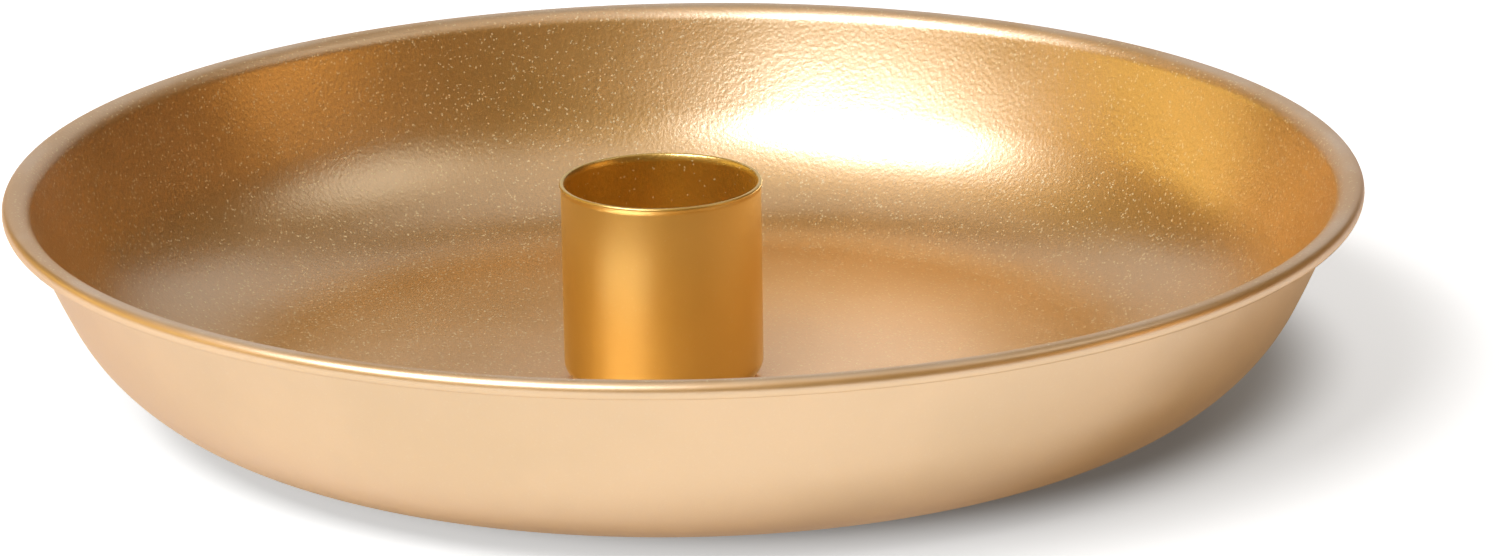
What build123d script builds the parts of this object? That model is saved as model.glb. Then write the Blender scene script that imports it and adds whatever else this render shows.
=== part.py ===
from build123d import *
import math
import os

# Candle plate: a shallow pressed dish with a small candle cup spot-welded to its floor.
# Units are millimetres and degrees. The origin is on the table, under the dish's centre,
# +Z is up, and the cup stands a little to the -X side of the dish's axis.

# Dish, one sheet pressed to a bowl, flared at the rim and curled over to a bead
rim_diameter = 160.0
rim_height = 25.9
dish_sheet = 0.8
bowl_radius = 24.0
wall_slope = 64.0
wall_turn = 5.5
flare_radius = 3.0
flare_turn = 24.5
crest_radius = 2.2
curl_inside_radius = 0.35
curl_turn = 150.0

# Candle cup, one sheet drawn with a closed bottom and a slightly belled mouth
candle_diameter = 22.0
candle_clearance = 0.3
cup_sheet = 0.55
cup_height = 24.3
cup_foot_radius = 2.2
mouth_bell_radius = 1.8
mouth_bell_turn = 38.0
cup_offset = 2.7

# Rounding of both sheets' cut edges, as a share of the sheet
edge_round_share = 0.28

# Spot welds between the cup's bottom and the dish's floor
weld_count = 3
weld_diameter = 3.2
weld_circle_share = 0.46
weld_depth_share = 0.55

# Where the slopes of the dish's sheet hand over, and radii that follow from the sizes above
wall_end_slope = wall_slope + wall_turn
flare_end_slope = wall_end_slope - flare_turn
bowl_inside_radius = bowl_radius - dish_sheet
curl_radius = curl_inside_radius + dish_sheet
cup_bore_radius = candle_diameter / 2 + candle_clearance
cup_flat_radius = cup_bore_radius + cup_sheet - cup_foot_radius
cup_seat = Location((-cup_offset, 0, dish_sheet))


def rise(slope):
    return math.sin(math.radians(slope))


def run(slope):
    return math.cos(math.radians(slope))


def wall_radius():
    """Radius of the wall's long shallow curve between the bowl's curve and the flare."""
    bowl = bowl_inside_radius * (1 - run(wall_slope))
    flare = flare_radius * (run(flare_end_slope) - run(wall_end_slope))
    crest = crest_radius * (1 - run(flare_end_slope))
    wall = rim_height - dish_sheet - bowl - flare - crest
    return wall / (run(wall_slope) - run(wall_end_slope))


def base_radius():
    """Radius of the flat part of the dish's floor, left over inside the bowl's curve."""
    bowl = bowl_inside_radius * rise(wall_slope)
    wall = wall_radius() * (rise(wall_end_slope) - rise(wall_slope))
    flare = flare_radius * (rise(wall_end_slope) - rise(flare_end_slope))
    crest = crest_radius * rise(flare_end_slope)
    return rim_diameter / 2 - bowl - wall - flare - crest - curl_radius


def dish_side(depth):
    """One side of the dish's sheet, from the axis to the curl's edge; depth 0 is the face."""
    floor = Line((0, dish_sheet - depth), (base_radius(), dish_sheet - depth))
    bowl = JernArc(floor @ 1, floor % 1, bowl_inside_radius + depth, wall_slope)
    wall = JernArc(bowl @ 1, bowl % 1, wall_radius() + depth, wall_turn)
    flare = JernArc(wall @ 1, wall % 1, flare_radius - depth, -flare_turn)
    crest = JernArc(flare @ 1, flare % 1, crest_radius - depth, -flare_end_slope)
    curl = JernArc(crest @ 1, crest % 1, curl_radius - depth, -curl_turn)
    return [floor, bowl, wall, flare, crest, curl]


def cup_side(depth):
    """One side of the cup's sheet, from its axis to the mouth's edge; depth 0 is the inside."""
    bell_height = mouth_bell_radius * rise(mouth_bell_turn)
    straight = cup_height - cup_foot_radius - bell_height
    floor = Line((0, cup_sheet - depth), (cup_flat_radius, cup_sheet - depth))
    foot = JernArc(floor @ 1, floor % 1, cup_foot_radius - cup_sheet + depth, 90)
    wall = Line(foot @ 1, foot @ 1 + (foot % 1) * straight)
    bell = JernArc(wall @ 1, wall % 1, mouth_bell_radius - depth, -mouth_bell_turn)
    return [floor, foot, wall, bell]


def turned_sheet(face_side, back_side, sheet):
    """Solid of revolution between the two sides of a sheet, with its cut edge rounded."""
    cut_edge = Line(face_side[-1] @ 1, back_side[-1] @ 1)
    axis_edge = Line(back_side[0] @ 0, face_side[0] @ 0)
    section = make_face(face_side + [cut_edge] + back_side + [axis_edge])
    middle = cut_edge @ 0.5
    corners = [v for v in section.vertices() if (v.center() - middle).length < sheet]
    section = fillet(corners, sheet * edge_round_share)
    return revolve(Plane.XZ * section, Axis.Z)


def welds():
    """Weld nuggets, each reaching part way into the sheet below and the sheet above the seat."""
    below = dish_sheet * weld_depth_share
    above = cup_sheet * weld_depth_share
    nugget = Cylinder(weld_diameter / 2, below + above, align=(Align.CENTER, Align.CENTER, Align.MIN))
    places = PolarLocations(cup_flat_radius * weld_circle_share, weld_count)
    sunk = cup_seat * Location((0, 0, -below))
    return [sunk * place * nugget for place in places]


def dish():
    blank = turned_sheet(dish_side(0), dish_side(dish_sheet), dish_sheet)
    return blank - welds()


def candle_cup():
    blank = turned_sheet(cup_side(0), cup_side(cup_sheet), cup_sheet)
    return cup_seat * blank - welds()


def main():
    os.makedirs("parts", exist_ok=True)
    export_step(dish(), "parts/dish.step")
    export_step(candle_cup(), "parts/candle_cup.step")
    export_step(Compound(welds()), "parts/weld_nuggets.step")


main()
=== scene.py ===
import bpy
import math
from mathutils import Matrix, Vector


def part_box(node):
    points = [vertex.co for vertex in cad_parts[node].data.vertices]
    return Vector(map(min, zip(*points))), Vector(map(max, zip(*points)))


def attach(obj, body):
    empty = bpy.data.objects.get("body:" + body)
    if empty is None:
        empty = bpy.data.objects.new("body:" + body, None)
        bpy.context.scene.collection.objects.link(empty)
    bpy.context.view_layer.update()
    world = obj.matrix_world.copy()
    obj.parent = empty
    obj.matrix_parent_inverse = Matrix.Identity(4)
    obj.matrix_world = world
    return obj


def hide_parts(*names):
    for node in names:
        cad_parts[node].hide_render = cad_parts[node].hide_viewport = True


# Candle plate: a pressed dish with a curled lip, and a small cup for one dinner candle.
# Metres and degrees, +Z up. The camera looks along +Y and a little down.

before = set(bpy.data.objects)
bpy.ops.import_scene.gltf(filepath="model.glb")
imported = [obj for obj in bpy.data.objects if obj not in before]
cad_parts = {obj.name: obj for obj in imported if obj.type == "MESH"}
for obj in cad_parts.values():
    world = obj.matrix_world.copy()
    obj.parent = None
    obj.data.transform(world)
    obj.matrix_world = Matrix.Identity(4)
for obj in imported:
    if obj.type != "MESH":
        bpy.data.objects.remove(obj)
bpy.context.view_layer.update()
print("frame loaded:", ", ".join(sorted(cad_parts)))


class Wire:
    # one output of a node; sums on wires add Math nodes
    def __init__(self, bench, socket):
        self.bench, self.socket = bench, socket

    def __add__(self, other):
        return self.bench.maths("ADD", self, other)

    def __sub__(self, other):
        return self.bench.maths("SUBTRACT", self, other)

    def __rsub__(self, other):
        return self.bench.maths("SUBTRACT", other, self)

    def __mul__(self, other):
        return self.bench.maths("MULTIPLY", self, other)

    def __truediv__(self, other):
        return self.bench.maths("DIVIDE", self, other)

    def __rtruediv__(self, other):
        return self.bench.maths("DIVIDE", other, self)

    def __gt__(self, other):
        return self.bench.maths("GREATER_THAN", self, other)

    __radd__, __rmul__ = __add__, __mul__

    def other(self, output):
        return Wire(self.bench, self.socket.node.outputs[output])


class Bench:
    # adds nodes to one tree
    def __init__(self, tree):
        self.tree = tree

    def node(self, kind, settings=None, sockets=None, take=0):
        made = self.tree.nodes.new(kind)
        for name, value in (settings or {}).items():
            setattr(made, name, value)
        for name, value in (sockets or {}).items():
            if isinstance(value, Wire):
                self.tree.links.new(value.socket, made.inputs[name])
            else:
                made.inputs[name].default_value = value
        return Wire(self, made.outputs[take]) if len(made.outputs) else None

    def maths(self, operation, *values):
        return self.node("ShaderNodeMath", {"operation": operation}, dict(enumerate(values)))

    def vectors(self, operation, *values, take=0):
        return self.node("ShaderNodeVectorMath", {"operation": operation}, dict(enumerate(values)), take)

    def scaled(self, vector, factor):
        return self.node("ShaderNodeVectorMath", {"operation": "SCALE"},
                         {"Vector": vector, "Scale": factor})

    def sine(self, angle):
        return self.maths("SINE", angle) if isinstance(angle, Wire) else math.sin(angle)

    def cosine(self, angle):
        return self.maths("COSINE", angle) if isinstance(angle, Wire) else math.cos(angle)

    def ease(self, value, low, high, atLow=0.0, atHigh=1.0):
        # a smooth step from atLow to atHigh while value goes from low to high
        return self.node("ShaderNodeMapRange", {"interpolation_type": "SMOOTHSTEP"}, {
            "Value": value, "From Min": low, "From Max": high, "To Min": atLow, "To Max": atHigh})

    def share(self, value, low, high):
        # 0 below low, 1 above high, straight between
        return self.node("ShaderNodeMapRange", {"clamp": True}, {
            "Value": value, "From Min": low, "From Max": high, "To Min": 0.0, "To Max": 1.0})

    def mix(self, factor, first, second):
        return self.node("ShaderNodeMix", {"data_type": "RGBA"}, {0: factor, 6: first, 7: second}, 2)

    def place(self):
        return self.node("ShaderNodeTexCoord", None, None, "Object")

    def noise(self, place, size, detail):
        return self.node("ShaderNodeTexNoise", None,
                         {"Vector": place, "Scale": 1 / size, "Detail": detail})

    def surface(self, shader):
        self.node("ShaderNodeOutputMaterial", None, {"Surface": shader})


def newFinish(name):
    material = bpy.data.materials.new(name)
    material.use_nodes = True
    material.node_tree.nodes.clear()
    return material, Bench(material.node_tree)


def solid(colour):
    return colour + (1.0,)


def rise(slope):
    return math.sin(math.radians(slope))


def run(slope):
    return math.cos(math.radians(slope))


# The turned sheet: both the dish and the cup are one sheet of metal turned about an axis.
# The sheet's middle line walks out from the axis, one stretch after another. A stretch has a
# name, the number of its mesh steps, and whether it is curved.

closingGap = 0.000001       # points closer than this are joined, along the seam and at the axis


def turnedSheetTree(name, stretches, edgeSteps, roundSteps):
    tree = bpy.data.node_groups.new(name, "GeometryNodeTree")
    tree.is_modifier = True
    bench = Bench(tree)
    tree.interface.new_socket("Geometry", in_out="OUTPUT", socket_type="NodeSocketGeometry")
    inlet = tree.nodes.new("NodeGroupInput")

    def size(label, kind="NodeSocketFloat"):
        tree.interface.new_socket(label, in_out="INPUT", socket_type=kind)
        return Wire(bench, inlet.outputs[label])

    # a flat grid: along X out over the face to the cut edge and back in under it, along Y round the axis
    halfSheet = size("Sheet") / 2
    steps = sum(count for label, count, curved in stretches)
    half = steps + edgeSteps
    grid = bench.node("GeometryNodeMeshGrid", None, {
        "Size X": 1.0, "Size Y": 1.0, "Vertices X": 2 * half + 1, "Vertices Y": roundSteps + 1})
    spot = bench.node("ShaderNodeSeparateXYZ", None, {0: bench.node("GeometryNodeInputPosition")})
    walked = (spot + 0.5) * (2 * half)
    outward = bench.maths("MINIMUM", walked, 2 * half - walked)
    side = 1 - 2 * (walked > half)          # 1 on the face, -1 on the back
    around = (spot.other("Y") + 0.5) * math.tau

    radius, height, slope, slopeBefore, passed = 0.0, halfSheet, 0.0, 0.0, 0
    for label, count, curved in stretches:
        walk = bench.share(outward, passed, passed + count)
        if curved:
            bend, turn = size(label + " radius"), size(label + " turn")
            slopeHere = slopeBefore + turn * walk
            radius = radius + bend * (bench.sine(slopeHere) - bench.sine(slopeBefore))
            height = height + bend * (bench.cosine(slopeBefore) - bench.cosine(slopeHere))
            slope, slopeBefore = slope + turn * walk, slopeBefore + turn
        else:
            length = size(label + " length") * walk
            radius = radius + length * bench.cosine(slopeBefore)
            height = height + length * bench.sine(slopeBefore)
        passed += count

    # the cut edge is rounded: face and back close in while the sheet reaches on by half its thickness
    over = bench.share(outward, steps, half) * (math.pi / 2)
    lift, reach = halfSheet * bench.cosine(over) * side, halfSheet * bench.sine(over)
    radius = radius + reach * bench.cosine(slope) - lift * bench.sine(slope)
    height = height + reach * bench.sine(slope) + lift * bench.cosine(slope)

    # shallow marks that the welding tips leave, one for each weld, on one side of the sheet
    axisX, seatHeight, weldX = size("Axis X"), size("Seat height"), size("Weld axis X")
    weldSector = math.tau / size("Weld count")
    weldCircle, markRadius = size("Weld circle radius"), size("Mark radius")
    markFlat, markDepth, markSide = size("Mark flat share"), size("Mark depth"), size("Mark side")
    placeX, placeY = radius * bench.cosine(around) + axisX, radius * bench.sine(around)
    weldAngle = bench.maths("ARCTAN2", placeY, placeX - weldX)
    folded = weldAngle - weldSector * bench.maths("ROUND", weldAngle / weldSector)
    fromWelds = bench.maths("SQRT", (placeX - weldX) * (placeX - weldX) + placeY * placeY)
    aside = fromWelds * bench.sine(folded)
    along = fromWelds * bench.cosine(folded) - weldCircle
    markShare = bench.maths("SQRT", aside * aside + along * along) / markRadius
    mark = bench.ease(markShare, markFlat, 1.0, 1.0, 0.0) * (side * markSide > 0)
    height = height + seatHeight - side * markDepth * mark

    placed = bench.node("ShaderNodeCombineXYZ", None, {"X": placeX, "Y": placeY, "Z": height})
    shaped = bench.node("GeometryNodeSetPosition", None, {"Geometry": grid, "Position": placed})
    closed = bench.node("GeometryNodeMergeByDistance", None,
                        {"Geometry": shaped, "Distance": size("Closing gap")})
    smooth = bench.node("GeometryNodeSetShadeSmooth", None, {"Geometry": closed, "Shade Smooth": True})
    plain = bench.node("GeometryNodeRealizeInstances", None, {"Geometry": smooth})
    painted = bench.node("GeometryNodeSetMaterial", None,
                         {"Geometry": plain, "Material": size("Finish", "NodeSocketMaterial")})
    bench.node("NodeGroupOutput", None, {"Geometry": painted})
    return tree


def turnSheet(name, tree, sizes):
    # runs the tree once and keeps the result as a plain mesh
    shell = bpy.data.objects.new(name, bpy.data.meshes.new(name))
    bpy.context.scene.collection.objects.link(shell)
    turning = shell.modifiers.new("Turning", "NODES")
    turning.node_group = tree
    for socket in tree.interface.items_tree:
        if socket.in_out == "INPUT":
            turning[socket.identifier] = sizes[socket.name]
    bpy.context.view_layer.update()
    made = bpy.data.meshes.new_from_object(shell.evaluated_get(bpy.context.evaluated_depsgraph_get()))
    shell.modifiers.remove(turning)
    shell.data = made
    made.name = name
    print(name, "turned:", len(made.vertices), "vertices,", len(made.polygons), "faces")
    return shell


# Paint: two metallic layers mixed, gloss and depth, with clumps of flakes and sparkles in both

dishPaint = {
    "gloss": (0.92, 0.89, 0.79),         # what the smooth binder and the flakes lying flat send back
    "glossRoughness": 0.3,
    "glossGrain": 0.25,                  # how much of the flakes' grain shows in this layer
    "depth": (0.89, 0.47, 0.06),         # what comes back out of the tinted lacquer
    "depthRoughness": 0.58,
    "depthGrain": 1.0,
    "depthShare": 0.55,
    "edgeTint": (0.80, 0.72, 0.76),      # at grazing angles
    "flakeSize": 0.00019,
    "flakeTilt": 0.03,
    "flakeShade": 0.92,                  # the darkest flake clumps, as a share of the plain colour
    "flakeSpread": 0.05,                 # how much one clump's roughness differs from the next
    "sparkleShare": 0.035,               # of all clumps
    "sparkleRoughness": 0.9,
    "sparkle": (1.0, 0.84, 0.50),
    "outerGrain": 0.12,                  # the outer side carries a smoother coat
    "outerFacing": (0.1, 0.5),           # 1 looks straight out; below the first is the inner side
    "peelSize": 0.0005,
    "peelDetail": 2.0,
    "peelDepth": 0.00003,
    "waveSize": 0.011,
    "waveDetail": 1.0,
    "waveDepth": 0.00005,
    "cloudSize": 0.02,
    "cloudDetail": 3.0,
    "cloudEdges": (0.3, 0.7),
    "cloudTones": (0.96, 1.03),          # shares of the plain colour
    "cloudRoughness": 0.03,
    "rubHeight": 0.0254,                 # handling polishes the paint above this height
    "rubTop": 0.0259,
    "rubShare": 0.5,
    "rubEdges": (0.35, 0.65),
    "rubbed": (0.93, 0.82, 0.70),
    "rubSmoothing": 0.03,
    "beadBelow": (0.0012, 0.0004),       # under rubHeight, where the softer coat starts and is full
    "beadRoughness": 0.08,               # the coat builds up soft over the bead
    "scuffHeight": 0.0002,               # sliding on tables wears the paint below this height
    "scuffSize": 0.0012,
    "scuffDetail": 5.0,
    "scuffStretch": (1.0, 3.5, 1.0),
    "scuffEdges": (0.5, 0.68),
    "scuffed": (0.46, 0.36, 0.26),
    "scuffRoughness": 0.15,
}
cupPaint = dict(
    dishPaint, gloss=(0.94, 0.84, 0.42), depth=(0.90, 0.46, 0.035), depthShare=0.52,
    edgeTint=(1.0, 1.0, 1.0), sparkleShare=0.012, rubHeight=0.0248, rubTop=0.0251, beadRoughness=0.0)


def goldPaint(name, look):
    material, bench = newFinish(name)
    place = bench.place()
    faced = bench.node("ShaderNodeNewGeometry", None, None, "Normal")
    placeZ = bench.node("ShaderNodeSeparateXYZ", None, {0: place}, "Z")

    # each cell is one clump of flakes with its own chance and its own tilt
    flakes = bench.node("ShaderNodeTexVoronoi", None,
                        {"Vector": place, "Scale": 1 / look["flakeSize"]}, "Color")
    chance = bench.node("ShaderNodeSeparateColor", None, {0: flakes})
    sparkle = chance > 1 - look["sparkleShare"]
    tilt = bench.scaled(bench.vectors("SUBTRACT", flakes, (0.5, 0.5, 0.5)), 2 * look["flakeTilt"])
    flakeFacing = bench.vectors("NORMALIZE", bench.vectors("ADD", faced, tilt))
    outward = bench.vectors("NORMALIZE", bench.vectors("MULTIPLY", place, (1.0, 1.0, 0.0)))
    facingOut = bench.vectors("DOT_PRODUCT", outward, faced, take="Value")
    flaky = bench.ease(facingOut, *look["outerFacing"], 1.0, look["outerGrain"])

    # orange peel of the sprayed coat, over the faint waves of pressed sheet
    peel = bench.noise(place, look["peelSize"], look["peelDetail"])
    wave = bench.noise(place, look["waveSize"], look["waveDetail"])
    height = peel * flaky * look["peelDepth"] + wave * look["waveDepth"]
    relief = {"Height": height, "Distance": 1.0, "Strength": 1.0}
    facings = {"gloss": bench.node("ShaderNodeBump", None, relief),
               "depth": bench.node("ShaderNodeBump", None, dict(relief, Normal=flakeFacing))}
    cloud = bench.noise(place, look["cloudSize"], look["cloudDetail"])
    patchy = bench.ease(cloud, *look["cloudEdges"])

    # rubbed along the top edge, scuffed where the plate stands
    scratch = bench.noise(bench.vectors("MULTIPLY", place, look["scuffStretch"]), look["scuffSize"],
                          look["scuffDetail"])
    rubbed = (bench.ease(placeZ, look["rubHeight"], look["rubTop"], 0.0, look["rubShare"])
              * bench.ease(cloud, *look["rubEdges"]))
    scuffed = (bench.ease(placeZ, 0.0, look["scuffHeight"], 1.0, 0.0)
               * bench.ease(scratch, *look["scuffEdges"]))
    bead = bench.ease(placeZ, *(look["rubHeight"] - below for below in look["beadBelow"]))

    def toned(gold, factor):
        return solid(tuple(min(1.0, c * factor) for c in gold))

    def lobe(layer):
        gold, grain, plain = look[layer], look[layer + "Grain"], look[layer + "Roughness"]
        darker, lighter = look["cloudTones"]
        shade = bench.mix(patchy, toned(gold, darker), toned(gold, lighter))
        shade = bench.mix(chance.other("Blue") * flaky * grain, shade, toned(gold, look["flakeShade"]))
        shade = bench.mix(sparkle * flaky * grain, shade, solid(look["sparkle"]))
        shade = bench.mix(rubbed, shade, solid(look["rubbed"]))
        shade = bench.mix(scuffed, shade, solid(look["scuffed"]))
        clouded = plain + patchy * look["cloudRoughness"] - look["cloudRoughness"] / 2
        flaked = ((chance.other("Green") - 0.5) * flaky * (look["flakeSpread"] * grain)
                  + sparkle * flaky * ((look["sparkleRoughness"] - plain) * grain))
        worn = (bead * look["beadRoughness"] - rubbed * look["rubSmoothing"]
                + scuffed * look["scuffRoughness"])
        return bench.node("ShaderNodeBsdfPrincipled", {"name": layer}, {
            "Base Color": shade, "Metallic": 1.0, "Roughness": clouded + flaked + worn,
            "Normal": facings[layer], "Specular Tint": solid(look["edgeTint"])})

    gloss, depth = lobe("gloss"), lobe("depth")
    bench.surface(bench.node("ShaderNodeMixShader", None, {0: look["depthShare"], 1: gloss, 2: depth}))
    return material


# Weld nuggets: bare steel, hidden between the sheets

weldSteel = {
    "colour": (0.42, 0.41, 0.40),
    "darkest": 0.6,                      # as a share of the colour
    "roughness": 0.45,
    "roughnessSpread": 0.2,
    "grainSize": 0.0003,
    "grainDetail": 4.0,
    "grainEdges": (0.35, 0.65),
    "grainDepth": 0.00002,
    "grainStrength": 0.6,
}


def weldMetal(name, look):
    material, bench = newFinish(name)
    grain = bench.noise(bench.place(), look["grainSize"], look["grainDetail"])
    dark = solid(tuple(c * look["darkest"] for c in look["colour"]))
    colour = bench.mix(bench.ease(grain, *look["grainEdges"]), dark, solid(look["colour"]))
    facing = bench.node("ShaderNodeBump", None, {"Height": grain, "Distance": look["grainDepth"],
                                                 "Strength": look["grainStrength"]})
    roughness = look["roughness"] + grain * look["roughnessSpread"]
    bench.surface(bench.node("ShaderNodeBsdfPrincipled", None, {
        "Base Color": colour, "Metallic": 1.0, "Roughness": roughness, "Normal": facing}))
    return material


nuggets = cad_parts["weld_nuggets"]
nuggets.data.materials.clear()
nuggets.data.materials.append(weldMetal("weldSteel", weldSteel))
print("weld nuggets given their steel")

# The cup's axis and the welds' marks

dishLow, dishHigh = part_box("dish")
cupLow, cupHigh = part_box("candle_cup")
cupAxisX = (cupLow.x + cupHigh.x) / 2
welds = {"count": 3, "circle": 0.00444, "markRadius": 0.0021, "markFlatShare": 0.72}


def weldMarks(depth, side):
    return {"Weld axis X": cupAxisX, "Weld count": welds["count"], "Weld circle radius": welds["circle"],
            "Mark radius": welds["markRadius"], "Mark flat share": welds["markFlatShare"],
            "Mark depth": depth, "Mark side": side}


# The dish

dishSizes = {
    "sheet": 0.0008,
    "bowlRadius": 0.024,         # outside
    "bowlTurn": 64.0,
    "wallTurn": 5.5,             # the wall goes on steepening a little
    "flareRadius": 0.003,        # on the face
    "flareTurn": 24.5,
    "crestRadius": 0.0022,       # on the face
    "curlInside": 0.00035,
    "curlTurn": 150.0,           # past level
    "seatLength": 0.010,         # the part of the floor that gets the finer mesh, for the weld marks
    "markDepth": 0.00008,
    "stretches": [("Seat", 28, False), ("Floor", 16, False), ("Bowl", 36, True), ("Wall", 12, True),
                  ("Flare", 7, True), ("Crest", 8, True), ("Curl", 18, True)],
    "edgeSteps": 4,
    "roundSteps": 288,
}


def makeDish(sizes):
    sheet, wallStart = sizes["sheet"], sizes["bowlTurn"]
    wallEnd = wallStart + sizes["wallTurn"]
    flareEnd = wallEnd - sizes["flareTurn"]
    bowl = sizes["bowlRadius"] - sheet / 2
    flare = sizes["flareRadius"] - sheet / 2
    crest = sizes["crestRadius"] - sheet / 2
    curl = sizes["curlInside"] + sheet / 2
    rimRadius = (dishHigh.x - dishLow.x) / 2 - sheet / 2
    middleTop = dishHigh.z - sheet / 2
    wall = (middleTop - sheet / 2 - bowl * (1 - run(wallStart)) - flare * (run(flareEnd) - run(wallEnd))
            - crest * (1 - run(flareEnd))) / (run(wallStart) - run(wallEnd))
    floor = (rimRadius - bowl * rise(wallStart) - wall * (rise(wallEnd) - rise(wallStart))
             - flare * (rise(wallEnd) - rise(flareEnd)) - crest * rise(flareEnd) - curl)
    print("wall radius", wall, "floor radius", floor)
    tree = turnedSheetTree("Dish sheet", sizes["stretches"], sizes["edgeSteps"], sizes["roundSteps"])
    # the curl stops half a sheet early, because its rounded edge reaches on by that much
    return turnSheet("dishShell", tree, {
        "Sheet": sheet, "Seat length": sizes["seatLength"], "Floor length": floor - sizes["seatLength"],
        "Bowl radius": bowl, "Bowl turn": math.radians(wallStart),
        "Wall radius": wall, "Wall turn": math.radians(sizes["wallTurn"]),
        "Flare radius": -flare, "Flare turn": -math.radians(sizes["flareTurn"]),
        "Crest radius": -crest, "Crest turn": -math.radians(flareEnd),
        "Curl radius": -curl, "Curl turn": -math.radians(sizes["curlTurn"]) + sheet / 2 / curl,
        "Axis X": 0.0, "Seat height": 0.0, **weldMarks(sizes["markDepth"], -1.0),
        "Closing gap": closingGap, "Finish": goldPaint("dishPaint", dishPaint)})


dish = makeDish(dishSizes)
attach(dish, "root")
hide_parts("dish")
dish.visible_diffuse = False     # the table stays a neutral white beside it

# The candle cup

cupSizes = {
    "sheet": 0.00055,
    "footRadius": 0.0022,        # outside
    "footTurn": 90.0,
    "bellRadius": 0.0018,        # on the face
    "bellTurn": 38.0,
    "boreRadius": 0.0113,
    "markDepth": 0.00006,
    "stretches": [("Floor", 24, False), ("Foot", 12, True), ("Wall", 12, False), ("Bell", 10, True)],
    "edgeSteps": 5,
    "roundSteps": 192,
}


def makeCup(sizes):
    sheet = sizes["sheet"]
    foot = sizes["footRadius"] - sheet / 2
    bell = sizes["bellRadius"] - sheet / 2
    floor = sizes["boreRadius"] + sheet - sizes["footRadius"]
    wall = cupHigh.z - cupLow.z - sizes["footRadius"] - sizes["bellRadius"] * rise(sizes["bellTurn"])
    tree = turnedSheetTree("Cup sheet", sizes["stretches"], sizes["edgeSteps"], sizes["roundSteps"])
    # the bell stops half a sheet early, because its rounded edge reaches on by that much
    return turnSheet("cupShell", tree, {
        "Sheet": sheet, "Floor length": floor,
        "Foot radius": foot, "Foot turn": math.radians(sizes["footTurn"]),
        "Wall length": wall, "Bell radius": -bell,
        "Bell turn": -math.radians(sizes["bellTurn"]) + sheet / 2 / bell,
        "Axis X": cupAxisX, "Seat height": cupLow.z, **weldMarks(sizes["markDepth"], 1.0),
        "Closing gap": closingGap, "Finish": goldPaint("cupPaint", cupPaint)})


cup = makeCup(cupSizes)
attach(cup, "root")
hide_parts("candle_cup")
cup.visible_diffuse = False

# The table top: white paper, lifted to white away from the plate for the camera and for mirrors

tableLook = {
    "size": 6.0,
    "below": 0.00005,                # under the plate's base
    "paper": 0.95,
    "liftMiddle": (0.009, 0.01),     # the lifts start at a distance from here
    "nearLift": 0.5,
    "nearFrom": 0.059,
    "nearTo": 0.073,
    "farLift": 0.42,
    "farFrom": 0.11,
    "farTo": 0.35,
    "mirrored": 0.48,                # how much of the lifts a mirror shows
    "mirrorMiddle": (0.035, 0.015),  # further to the shadow's side
    "bounce": (1.0, 0.74, 0.45),     # painted golden light on the paper near the plate, in place of the plate's own golden light, for mirrors only
    "bounceMiddle": (0.004, 0.0),
    "bounceLevel": 0.18,
    "bounceFrom": 0.052,
    "bounceTo": 0.09,
}


def makeTable(look):
    mesh = bpy.data.meshes.new("tableTop")
    half = look["size"] / 2
    corners = [(-half, -half), (half, -half), (half, half), (-half, half)]
    mesh.from_pydata([(x, y, -look["below"]) for x, y in corners], [], [(0, 1, 2, 3)])
    table = bpy.data.objects.new("tableTop", mesh)
    bpy.context.scene.collection.objects.link(table)
    material, bench = newFinish("whitePaper")
    camera = bench.node("ShaderNodeLightPath", None, None, "Is Camera Ray")
    glossy = camera.other("Is Glossy Ray")
    seen = bench.maths("MAXIMUM", camera, camera.other("Is Transmission Ray"))
    place = bench.place()

    def distance(middle):
        return bench.vectors("LENGTH", bench.vectors("SUBTRACT", place, middle + (0.0,)), take="Value")

    def lift(middle):
        out = distance(middle)
        return (bench.ease(out, look["nearFrom"], look["nearTo"]) * look["nearLift"]
                + bench.ease(out, look["farFrom"], look["farTo"]) * look["farLift"])

    lifted = seen * lift(look["liftMiddle"]) + glossy * look["mirrored"] * lift(look["mirrorMiddle"])
    near = bench.ease(distance(look["bounceMiddle"]), look["bounceFrom"], look["bounceTo"],
                      look["bounceLevel"], 0.0)
    paper = bench.node("ShaderNodeBsdfDiffuse", None, {"Color": solid((look["paper"],) * 3)})
    white = bench.node("ShaderNodeEmission", None, {"Color": solid((1.0, 1.0, 1.0)), "Strength": lifted})
    # a painted golden glow on the paper near the plate, seen only in mirrors
    gold = bench.node("ShaderNodeEmission", None,
                      {"Color": solid(look["bounce"]), "Strength": glossy * near})
    both = bench.node("ShaderNodeAddShader", None, {0: paper, 1: white})
    bench.surface(bench.node("ShaderNodeAddShader", None, {0: both, 1: gold}))
    mesh.materials.append(material)
    print("table top laid")


makeTable(tableLook)

# Light: "around" is the compass angle seen from above, 0 behind the plate and 90 to its right,
# and "level" is how bright a panel looks in a mirror, 1 being white

lamps = {
    "keySoftbox": {"around": 225, "up": 50, "away": 1.2, "size": (0.82, 0.48),
                   "level": 10.0, "colour": (1, 1, 1)},
    "backPanel": {"around": 0, "up": 24.5, "away": 1.3, "size": (1.67, 1.18),
                  "level": 0.63, "colour": (1, 1, 1)},
    "topPanel": {"around": 0, "up": 89, "away": 1.0, "size": (1.0, 1.0),
                 "level": 0.39, "colour": (1, 1, 1)},
    "rightPanel": {"around": 91, "up": 51, "away": 1.1, "size": (0.55, 0.38),
                   "level": 1.2, "colour": (1, 0.9, 0.75)},
    "leftGlow": {"around": 284, "up": 15, "away": 1.2, "size": (1.15, 0.26),
                 "level": 1.45, "colour": (1, 0.65, 0.16)},
    "rightGlow": {"around": 103, "up": 13.5, "away": 1.3, "size": (0.7, 0.4),
                  "level": 1.4, "colour": (1, 0.45, 0.09)},
}
dimRoom = {"colour": (1.0, 0.85, 0.75), "strength": 0.024}


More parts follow.
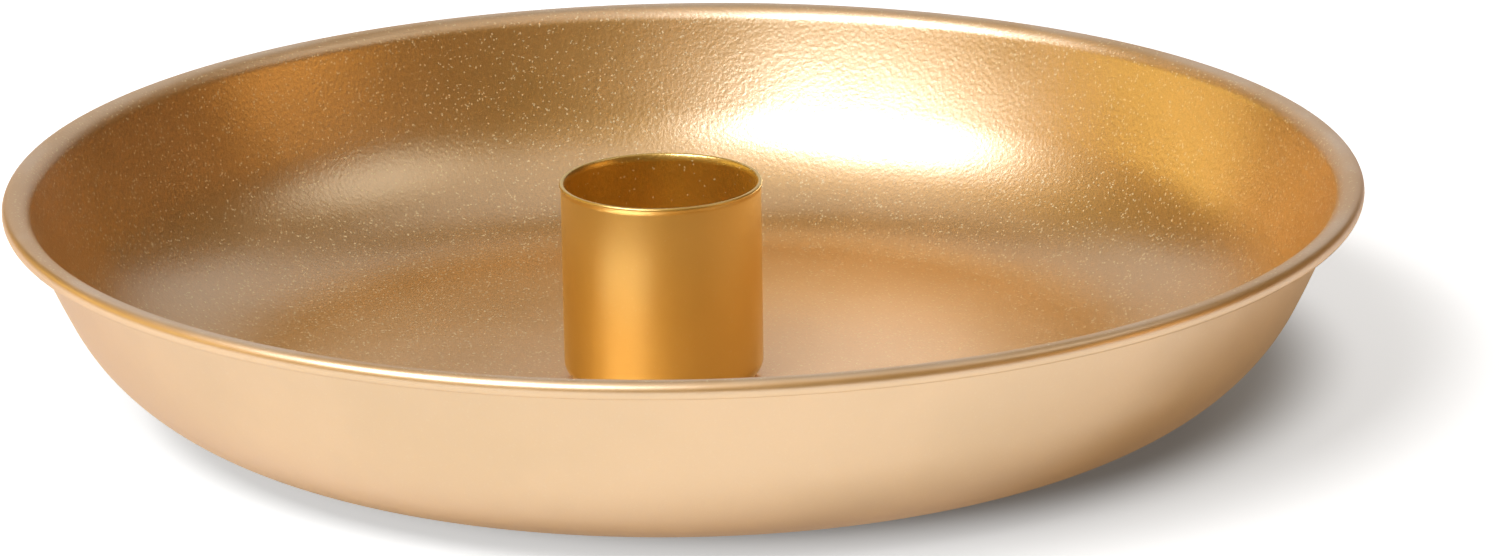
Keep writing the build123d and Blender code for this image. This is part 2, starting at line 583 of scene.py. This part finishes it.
def makeLamps(plan):
    for name, lamp in plan.items():
        light = bpy.data.lights.new(name, "AREA")
        light.shape = "RECTANGLE"
        light.size, light.size_y = lamp["size"]
        light.energy = lamp["level"] * math.pi * light.size * light.size_y
        light.color = lamp["colour"]
        around, up = lamp["around"], lamp["up"]
        direction = Vector((run(up) * rise(around), run(up) * run(around), rise(up)))
        holder = bpy.data.objects.new(name, light)
        facing = direction.to_track_quat("Z", "Y").to_matrix().to_4x4()
        holder.matrix_world = Matrix.Translation(direction * lamp["away"]) @ facing
        holder.visible_camera = False
        bpy.context.scene.collection.objects.link(holder)
    print("lamps hung:", ", ".join(plan))


def makeRoom(look):
    world = bpy.data.worlds.new("studio")
    bpy.context.scene.world = world
    world.use_nodes = True
    background = world.node_tree.nodes["Background"]
    background.inputs["Color"].default_value = solid(look["colour"])
    background.inputs["Strength"].default_value = look["strength"]


makeLamps(lamps)
makeRoom(dimRoom)

# Camera: a long lens, tipped a touch to one side

cameraView = {
    "lens": 144.0,
    "sensor": 36.0,
    "down": 17.221,
    "roll": -0.807,
    "distance": 0.715591,
    "aside": (-0.007505, -0.012211),     # where the origin lies from the lens axis, right and up
    "clip": (0.05, 20),
}


def makeCamera(plan):
    down, roll = plan["down"], plan["roll"]
    level = Vector((1, 0, 0))
    ahead = Vector((0, run(down), -rise(down)))
    upright = Vector((0, rise(down), run(down)))
    right = level * run(roll) + upright * rise(roll)
    up = upright * run(roll) - level * rise(roll)
    place = -(right * plan["aside"][0] + up * plan["aside"][1] + ahead * plan["distance"])
    data = bpy.data.cameras.new("view")
    data.lens, data.sensor_width, data.sensor_fit = plan["lens"], plan["sensor"], "HORIZONTAL"
    data.clip_start, data.clip_end = plan["clip"]
    camera = bpy.data.objects.new("view", data)
    camera.matrix_world = Matrix.Translation(place) @ Matrix((right, up, -ahead)).transposed().to_4x4()
    bpy.context.scene.collection.objects.link(camera)
    bpy.context.scene.camera = camera
    print("camera set up")


makeCamera(cameraView)
bpy.context.scene.view_settings.view_transform = "Standard"
